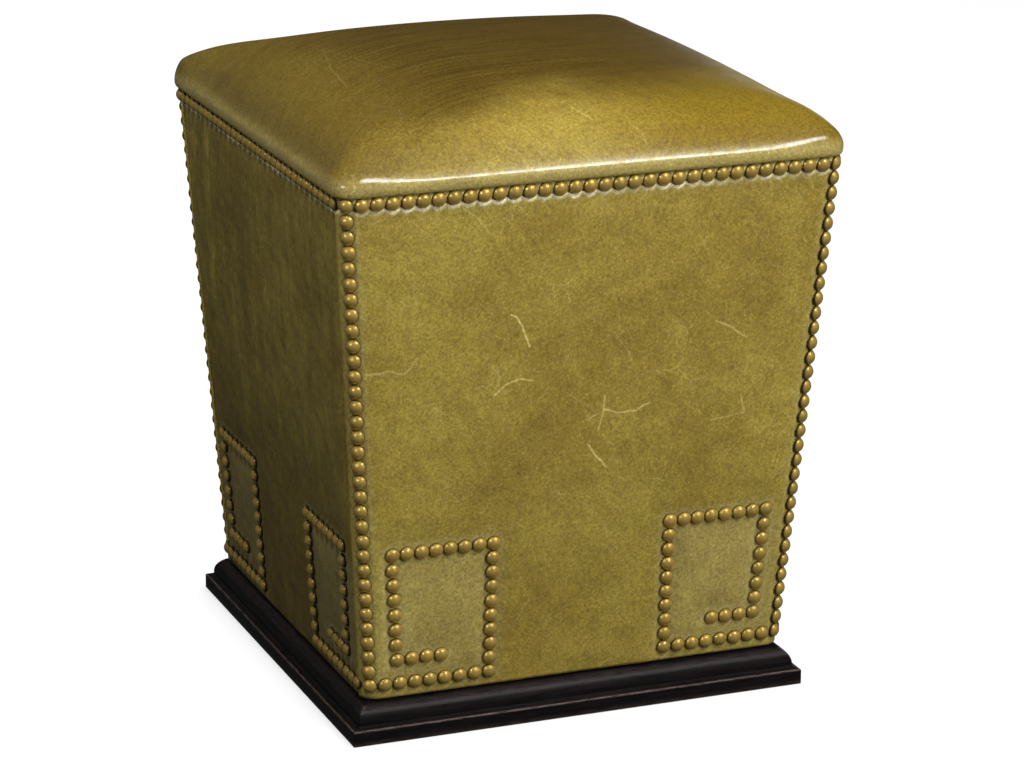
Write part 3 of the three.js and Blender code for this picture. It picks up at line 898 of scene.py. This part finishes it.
def evened(step, rings, columns):
    """The simulation's movement without its small wrinkles, each point's averaged with its neighbours'."""
    grid = step[:-1].reshape(rings, columns, 3)
    for _ in range(EVENING_ROUNDS):
        inward = np.concatenate([grid[1:], grid[-1:]])
        outward = np.concatenate([grid[:1], grid[:-1]])
        grid = (grid * 2 + np.roll(grid, 1, 1) + np.roll(grid, -1, 1) + inward + outward) / 6
    return np.concatenate([grid.reshape(-1, 3), grid[-1].mean(0)[None, :]])


def edge_reach(points):
    """How far in from the edge of the cushion each point lies."""
    return SEAT_WIDTH / 2 + CUSHION_OVERHANG - np.abs(points[:, :2]).max(axis=1)


def swelled(points, faces, rings, columns):
    """The top as the simulation swells it, held at its edge, evened out and capped."""
    pinned = 1 - ramp(LOOSE_FROM, LOOSE_AT, edge_reach(points))
    pinned[: PINNED_RINGS * columns] = 1
    moved = simulate_cushion(points, faces, pinned)
    step = evened(moved - points, rings, columns) * (1 - pinned[:, None])
    length = np.linalg.norm(step, axis=1, keepdims=True)
    return points + step * np.minimum(1, CAP / np.maximum(length, 1e-9))


def point_normals(points, faces):
    mesh = new_mesh("top_normals", points, faces)
    normals = np.array([v.normal for v in mesh.vertices])
    bpy.data.meshes.remove(mesh)
    return normals


def top_attributes(points):
    """Where the top takes paleness and painted light, glazing and painted shade, gold and polish, and how
    its brush marks run.
    """
    x, y, z = points.T
    glaze_and_shade = top_glaze_and_shade(x, y) * ramp(BULGE, BULGE + 15 * MM, z)
    gold = ramp(BULGE - 2 * MM, BULGE + 12 * MM, z)
    gold = gold * (0.4 + 0.6 * ramp(-70 * MM, 120 * MM, x))
    # Painted sheen: less gold, so paler, along the front left of the top
    front = 1 - ramp(30 * MM, 85 * MM, y + SEAT_WIDTH / 2)
    gold = gold * (1 - 0.6 * front * (1 - ramp(-30 * MM, 90 * MM, x)))
    # Paleness of the stretched skirt between the top row's heads, with painted light where the overhang
    # shades it; and painted light on the band under the rounded edge, which faces down into shade
    pale_and_lit = 1 - ramp(TOP_ROW + 4 * MM, TOP_ROW + 5.2 * MM, z)
    pale_and_lit = np.maximum(pale_and_lit, 0.22 * (1 - ramp(BULGE - 1 * MM, BULGE + 12 * MM, z)))
    edge = (1 - ramp(8 * MM, 26 * MM, edge_reach(points))) * ramp(BULGE - 3 * MM, BULGE, z)
    return {"pale_and_lit": pale_and_lit, "glaze_and_shade": glaze_and_shade, "gold": gold, "arc": brush_arc(x, y), "edge": edge}


def leather_top():
    """The crowned leather with its skirt: an outer skin, an inner one, and a wall between their feet."""
    rings = cushion_rings(0.0)
    columns = len(rings[0])
    outer = np.concatenate(rings)
    faces = grid_faces(len(rings), columns, closed=True)
    last = (len(rings) - 1) * columns
    outer = np.concatenate([outer, outer[last:].mean(0)[None, :]])
    size = len(outer)
    faces += [(last + c, last + (c + 1) % columns, size - 1) for c in range(columns)]
    outer = swelled(outer, faces, len(rings), columns)
    points = np.concatenate([outer, outer - point_normals(outer, faces) * LEATHER])
    body = faces + [tuple(i + size for i in f)[::-1] for f in faces]
    body += [(c, c + size, (c + 1) % columns + size, (c + 1) % columns) for c in range(columns)]
    attributes = top_attributes(points)
    piece = add_piece("leather_top", points, body, leather_brushed, "top_cover", attributes)
    smoother = piece.modifiers.new("Subdivision", "SUBSURF")
    smoother.levels = smoother.render_levels = 1


def foam_core():
    rings = cushion_rings(LEATHER + PAD_GAP, 16, 4)[3:]
    columns = len(rings[0])
    faces = loft_faces(len(rings), columns)
    piece = add_piece("foam_core", np.concatenate(rings), faces, foam, "foam_cushion")


# Nails

def dome_profile():
    """Radius and height of a nail head's rings, from the rim to near the crown, and the crown's height."""
    ball = NAIL_RADIUS / math.sin(NAIL_SLOPE)
    foot = NAIL_EDGE - ball * math.cos(NAIL_SLOPE)
    rings = [(NAIL_RADIUS * 0.96, 0.0), (NAIL_RADIUS * 0.995, NAIL_EDGE * 0.5)]
    for slope in np.linspace(NAIL_SLOPE, 0, 9)[:-1]:
        rings.append((ball * math.sin(slope), foot + ball * math.cos(slope)))
    return rings, foot + ball


DOME_STEPS = 26
SINK = 0.5 * MM
STRAY = 0.12 * MM
STRAY_LEAN = 0.035
# Where the patina and painted shade at the rim start, as a share of the radius, and the size of the heads:
# front and back, then sides
HEAD_LOOKS = ((0.86, 1.0), (0.68, 0.93))


def nail_strip(name, turns, places, seed):
    """A run of separate domed heads, each a closed body pressed a little into the leather."""
    rng = np.random.default_rng(seed)
    profile, crown = dome_profile()
    ring = np.linspace(0, 2 * math.pi, DOME_STEPS, endpoint=False)
    points, faces, tone, rim = [], [], [], []
    rim_shade_from, size = HEAD_LOOKS[turns % 2]
    for along, z in places:
        along = along + rng.normal() * STRAY
        z = z + rng.normal() * STRAY
        spot, out = on_leather(along, z)
        out = out + rng.normal(size=3) * STRAY_LEAN
        out /= np.linalg.norm(out)
        wide = np.cross(out, (0, 0, 1))
        wide /= np.linalg.norm(wide)
        up = np.cross(wide, out)
        spot = spot - out * SINK
        start = len(points)
        shade = rng.uniform()
        for i, (radius, height) in enumerate(profile):
            for turn in ring:
                around = wide * math.cos(turn) + up * math.sin(turn)
                points.append(spot + (out * height + around * radius) * size)
                tone.append(shade)
                # The rim's patina and painted shade, growing to the edge
                rim.append(ramp(rim_shade_from, 0.99, radius / NAIL_RADIUS))
        points.append(spot + out * crown * size)
        tone.append(shade)
        rim.append(0.0)
        rows = len(profile)
        faces += grid_faces(rows, DOME_STEPS, start, closed=True, flip=True)
        faces.append(tuple(start + c for c in range(DOME_STEPS)))
        top = start + (rows - 1) * DOME_STEPS
        peak = len(points) - 1
        faces += [(top + (c + 1) % DOME_STEPS, top + c, peak) for c in range(DOME_STEPS)]
    points = quarter_turn(np.array(points), turns)
    attributes = {"tone": tone, "rim": rim}
    add_piece(name.replace("nail_", "nails_", 1), points, faces, brass, name, attributes)


def all_nails():
    for turns, side in enumerate(SIDES):
        turn, width = side_turn(turns), key_width(turns)
        nail_strip(f"nail_row_{side}", turns, row_places(turn, turns % 2 == 0), 100 + turns)
        nail_strip(f"nail_key_{side}_left_end", turns, key_places(-1, turn, width), 110 + turns)
        nail_strip(f"nail_key_{side}_right_end", turns, key_places(1, turn, width), 120 + turns)
    for corner, name in enumerate(CORNERS):
        turns, side = (corner, 1) if corner % 2 == 0 else (corner + 1, -1)
        nail_strip(f"nail_column_{name}", turns, column_places(side), 130 + corner)


# Plinth

def plinth_profile():
    """Outline of the moulding as (distance out, height, wear and painted highlight), from the floor up."""
    ovolo_out = PLINTH_HALF - LEDGE_WIDTH
    rise = PLINTH_HEIGHT - OVOLO_FOOT
    points = [(PLINTH_HALF - 0.6 * MM, 0.0, 0.1), (PLINTH_HALF, 0.6 * MM, 0.3), (PLINTH_HALF, 5 * MM, 0.0)]
    for i in range(6):
        turn = QUARTER * i / 5
        out = PLINTH_HALF - FASCIA_EASE * (1 - math.cos(turn))
        points.append((out, FASCIA_HEIGHT - FASCIA_EASE * (1 - math.sin(turn)), 0.9 * math.sin(2 * turn)))
    points.append((ovolo_out + 0.6 * MM, FASCIA_HEIGHT + LEDGE_RISE - 0.1 * MM, 0.0))
    points.append((ovolo_out, FASCIA_HEIGHT + LEDGE_RISE + 0.5 * MM, 0.0))
    for i in range(17):
        turn = QUARTER * i / 16
        out = ovolo_out - OVOLO_DEPTH * (1 - math.cos(turn))
        points.append((out, OVOLO_FOOT + rise * math.sin(turn), 0.12 if 4 < i < 9 else 0.0))
    points += [(PLINTH_INNER, PLINTH_HEIGHT, 0.0), (PLINTH_INNER, 0.0, 0.0)]
    return points


def plinth(turns):
    profile = plinth_profile()[::-1]
    shares = np.concatenate([[-1.0, -0.994], np.linspace(-0.985, 0.985, 60), [0.994, 1.0]])
    points, wear_and_highlight = [], []
    for share in shares:
        for out, z, worn in profile:
            # Wear and painted highlight on the arrises, more at the mitred ends
            points.append((share * (out - SEAM), -out, z))
            wear_and_highlight.append(max(worn, 0.5 if abs(share) > 0.99 and worn > 0.05 else 0.0))
    side = SIDES[turns]
    faces = loft_faces(len(shares), len(profile))
    points = quarter_turn(np.array(points), turns)
    piece = add_piece(f"plinth_moulding_{side}", points, faces, espresso, f"plinth_{side}",
                      {"wear_and_highlight": wear_and_highlight})
    piece.data.set_sharp_from_angle(angle=math.radians(35))


# Pieces inside

PAD = 5 * MM
PAD_GAP = 1.2 * MM
PAD_LOFT = 0.25 * MM
PAD_EASE = 10 * MM


def wadding_pad(turns):
    """Wadding under one side's leather, a thin pad with soft edges."""
    side = SIDES[turns]
    low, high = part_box(f"side_padding_{side}")
    heights = np.linspace(low.z, high.z, 40)
    shares = np.linspace(-1, 1, 41)
    z = heights[:, None]
    half = face_half(z) - CORNER_RADIUS - 1 * MM
    along = half * shares[None, :]
    z = np.broadcast_to(z, along.shape)
    points, out = on_leather(along, z)
    border = np.minimum(half - np.abs(along), np.minimum(z - low.z, high.z - z))
    thin = 0.5 + 0.5 * ramp(0, PAD_EASE, border)
    loft = PAD_LOFT * wave_noise(91 + turns, 10, 20 * MM, 60 * MM, along, z)
    middle = LEATHER + PAD_GAP + PAD / 2
    outer = points - out * (middle - (PAD / 2 + loft - 0.5 * MM) * thin)[..., None]
    inner = points - out * (middle + PAD / 2 * thin)[..., None]
    body, faces = sheet_body(quarter_turn(outer, turns), quarter_turn(inner, turns))
    piece = add_piece(f"wadding_{side}", body, faces, wadding, f"side_padding_{side}")


DUST_CUT = 54 * MM
DUST_STEPS = 48
DUST_HELD = 20 * MM
DUST_SAG = 0.25 * MM
DUST_THICKNESS = 0.5 * MM


def dust_cloth():
    """The cloth under the base, its corners cut off, with a slight sag."""
    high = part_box("dust_cloth")[1]
    half = high.x
    cut = half - DUST_CUT
    shares = np.linspace(-1, 1, DUST_STEPS + 1)
    x, y = np.meshgrid(shares * half, shares * half)
    shift = np.maximum(np.abs(x) + np.abs(y) - (half + cut), 0) / 2
    x = x - np.sign(x) * shift
    y = y - np.sign(y) * shift
    edge = np.minimum(half - np.maximum(np.abs(x), np.abs(y)), DUST_HELD) / DUST_HELD
    sag = DUST_SAG * edge * (1 + 0.3 * wave_noise(97, 8, 60 * MM, 160 * MM, x, y))
    top = np.stack([x, y, high.z - sag - 0.05 * MM], -1)
    body, faces = sheet_body(top, top - np.array([0, 0, DUST_THICKNESS]))
    piece = add_piece("dust_cover", body, faces, dust_weave, "dust_cloth")


def finish_kept_nodes():
    """Materials for the CAD pieces that stay."""
    kept = {"corner_block": softwood, "corner_post": softwood, "bottom_rail": softwood, "top_rail": softwood,
            "side_panel": plywood, "base_board": plywood, "seat_deck": plywood, "block_screw": zinc}
    for name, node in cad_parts.items():
        for start, material in kept.items():
            if name.startswith(start):
                node.data.materials.clear()
                node.data.materials.append(material)


for turns in range(4):
    side_leather(turns)
    plinth(turns)
    wadding_pad(turns)
leather_top()
foam_core()
all_nails()
dust_cloth()
finish_kept_nodes()


# Stage: floor, lights and camera

CAMERA_PLACE = Vector((-1.14774, -2.888, 1.1901))
CAMERA_AZIMUTH = math.radians(-21.932)
CAMERA_ELEVATION = math.radians(17.178)
CAMERA_ROLL = math.radians(0.517)
FOCAL_PIXELS = 3787.1
FRAME_PIXELS = 1024
SENSOR = 36.0


def add_camera():
    az, el = CAMERA_AZIMUTH, CAMERA_ELEVATION
    back = Vector((math.sin(az) * math.cos(el), -math.cos(az) * math.cos(el), math.sin(el)))
    right = (-back).cross(Vector((0, 0, 1))).normalized()
    up = right.cross(-back)
    c, s = math.cos(CAMERA_ROLL), math.sin(CAMERA_ROLL)
    across, above = c * right + s * up, c * up - s * right
    data = bpy.data.cameras.new("camera")
    data.sensor_width = SENSOR
    data.lens = SENSOR * FOCAL_PIXELS / FRAME_PIXELS
    data.clip_start, data.clip_end = 0.1, 60
    camera = new_object("camera", data)
    turn = Matrix((across, above, back)).transposed()
    camera.matrix_world = Matrix.Translation(CAMERA_PLACE) @ turn.to_4x4()
    bpy.context.scene.camera = camera


def seen_directly(m):
    """1 for rays from the camera, from mirroring surfaces and through clear ones, 0 for soft light."""
    rays = put(m, "LightPath").outputs
    seen = calc(m, "MAXIMUM", rays["Is Camera Ray"], rays["Is Transmission Ray"])
    return calc(m, "MAXIMUM", seen, rays["Is Glossy Ray"])


def floor_material():
    """A white floor to the camera, with a soft contact shadow; what it throws back on the object is dim."""
    m = new_material("floor_white")
    near = put(m, "AmbientOcclusion", {"samples": 6}, Distance=0.05)
    contact = span(m, near.outputs["AO"], 0.15, 0.95, 0.5, 0.93)
    glow = put(m, "Emission", Strength=contact)
    soft = put(m, "BsdfDiffuse", Color=colour(0.22, 0.22, 0.22))
    shown = put(m, "AddShader", _0=glow.outputs[0], _1=soft.outputs[0])
    grey = put(m, "BsdfDiffuse", Color=colour(0.05, 0.05, 0.05))
    shader = put(m, "MixShader", _0=seen_directly(m), _1=grey.outputs[0], _2=shown.outputs[0])
    return finish_surface(m, shader)


def dark_card_material():
    m = new_material("dark_card")
    mottle = noise(m, place(m), 2.0, 2.0)
    return finish_surface(m, put(m, "Emission", Strength=span(m, mottle, 0.3, 0.7, 0.035, 0.055)))


def square(half, z):
    return [(-half, -half, z), (half, -half, z), (half, half, z), (-half, half, z)]


def add_dark_cards():
    """Dark grey cards round the set, seen only in reflections, so that the sheen keeps its depth."""
    half, low, high = 3.6, 0.0006, 3.2
    faces = [(0, 1, 2, 3), (7, 6, 5, 4), (0, 4, 5, 1), (1, 5, 6, 2), (2, 6, 7, 3), (3, 7, 4, 0)]
    points = square(half, low) + square(half, high)
    cards = new_object("dark_cards", new_mesh("dark_cards", points, faces, dark_card_material()))
    for kind in ("camera", "diffuse", "transmission", "volume_scatter", "shadow"):
        setattr(cards, f"visible_{kind}", False)


def add_floor():
    mesh = new_mesh("floor", square(9.0, 0), [(0, 1, 2, 3)], floor_material())
    new_object("floor", mesh)


def add_light(name, place_at, aim, width, height, power, mirrored=True, tint=(1, 1, 1)):
    """A soft rectangular lamp; one that isn't mirrored lights surfaces without a highlight of its own."""
    data = bpy.data.lights.new(name, "AREA")
    data.shape = "RECTANGLE"
    data.size, data.size_y = width, height
    data.energy = power
    data.color = tint
    light = new_object(name, data)
    light.location = place_at
    light.rotation_euler = (Vector(aim) - Vector(place_at)).to_track_quat("-Z", "Y").to_euler()
    light.visible_camera = False
    light.visible_glossy = mirrored


def add_world():
    """White where it is seen directly, and a dim light on everything else."""
    world = bpy.data.worlds.new("studio")
    world.use_nodes = True
    world.node_tree.nodes.clear()
    dim = put(world, "Background", Color=colour(1, 1, 1), Strength=0.04)
    white = put(world, "Background", Color=colour(1, 1, 1), Strength=1.0)
    both = put(world, "MixShader", _0=seen_directly(world), _1=dim.outputs[0], _2=white.outputs[0])
    put(world, "OutputWorld", Surface=both.outputs[0])
    bpy.context.scene.world = world


# Each lamp's name, place, aim, width, height, watts, and whether it shows in reflections
LAMPS = (
    ("key", (0.85, -1.78, 2.15), (0, 0, 0.3), 1.2, 0.45, 16, True),
    ("key_soft", (1.15, -1.7, 2.15), (0, 0, 0.3), 1.2, 0.8, 31, False),
    ("front_fill", (1.3, -2.6, 1.05), (0, 0, 0.25), 1.6, 1.0, 40, False),
    ("overhead", (0.2, -0.8, 2.9), (0, 0, 0.4), 1.5, 1.2, 20, False),
    ("key_left", (-0.8, -0.66, 1.7), (-0.1, -0.05, 0.3), 0.35, 0.35, 15, False),
    ("glint_left", (-1.9, -1.1, 1.3), (-0.2, 0, 0.3), 0.5, 0.4, 7, True),
    ("back_fill", (-0.5, 2.5, 1.2), (0, 0, 0.25), 1.6, 1.2, 18, False),
    ("rim", (1.7, 2.1, 0.8), (0.1, 0, 0.5), 0.7, 0.5, 2.0, True, (0.92, 0.97, 0.82)),
)

add_camera()
add_floor()
add_world()
add_dark_cards()
for lamp in LAMPS:
    add_light(*lamp)

bpy.context.scene.view_settings.view_transform = "Standard"
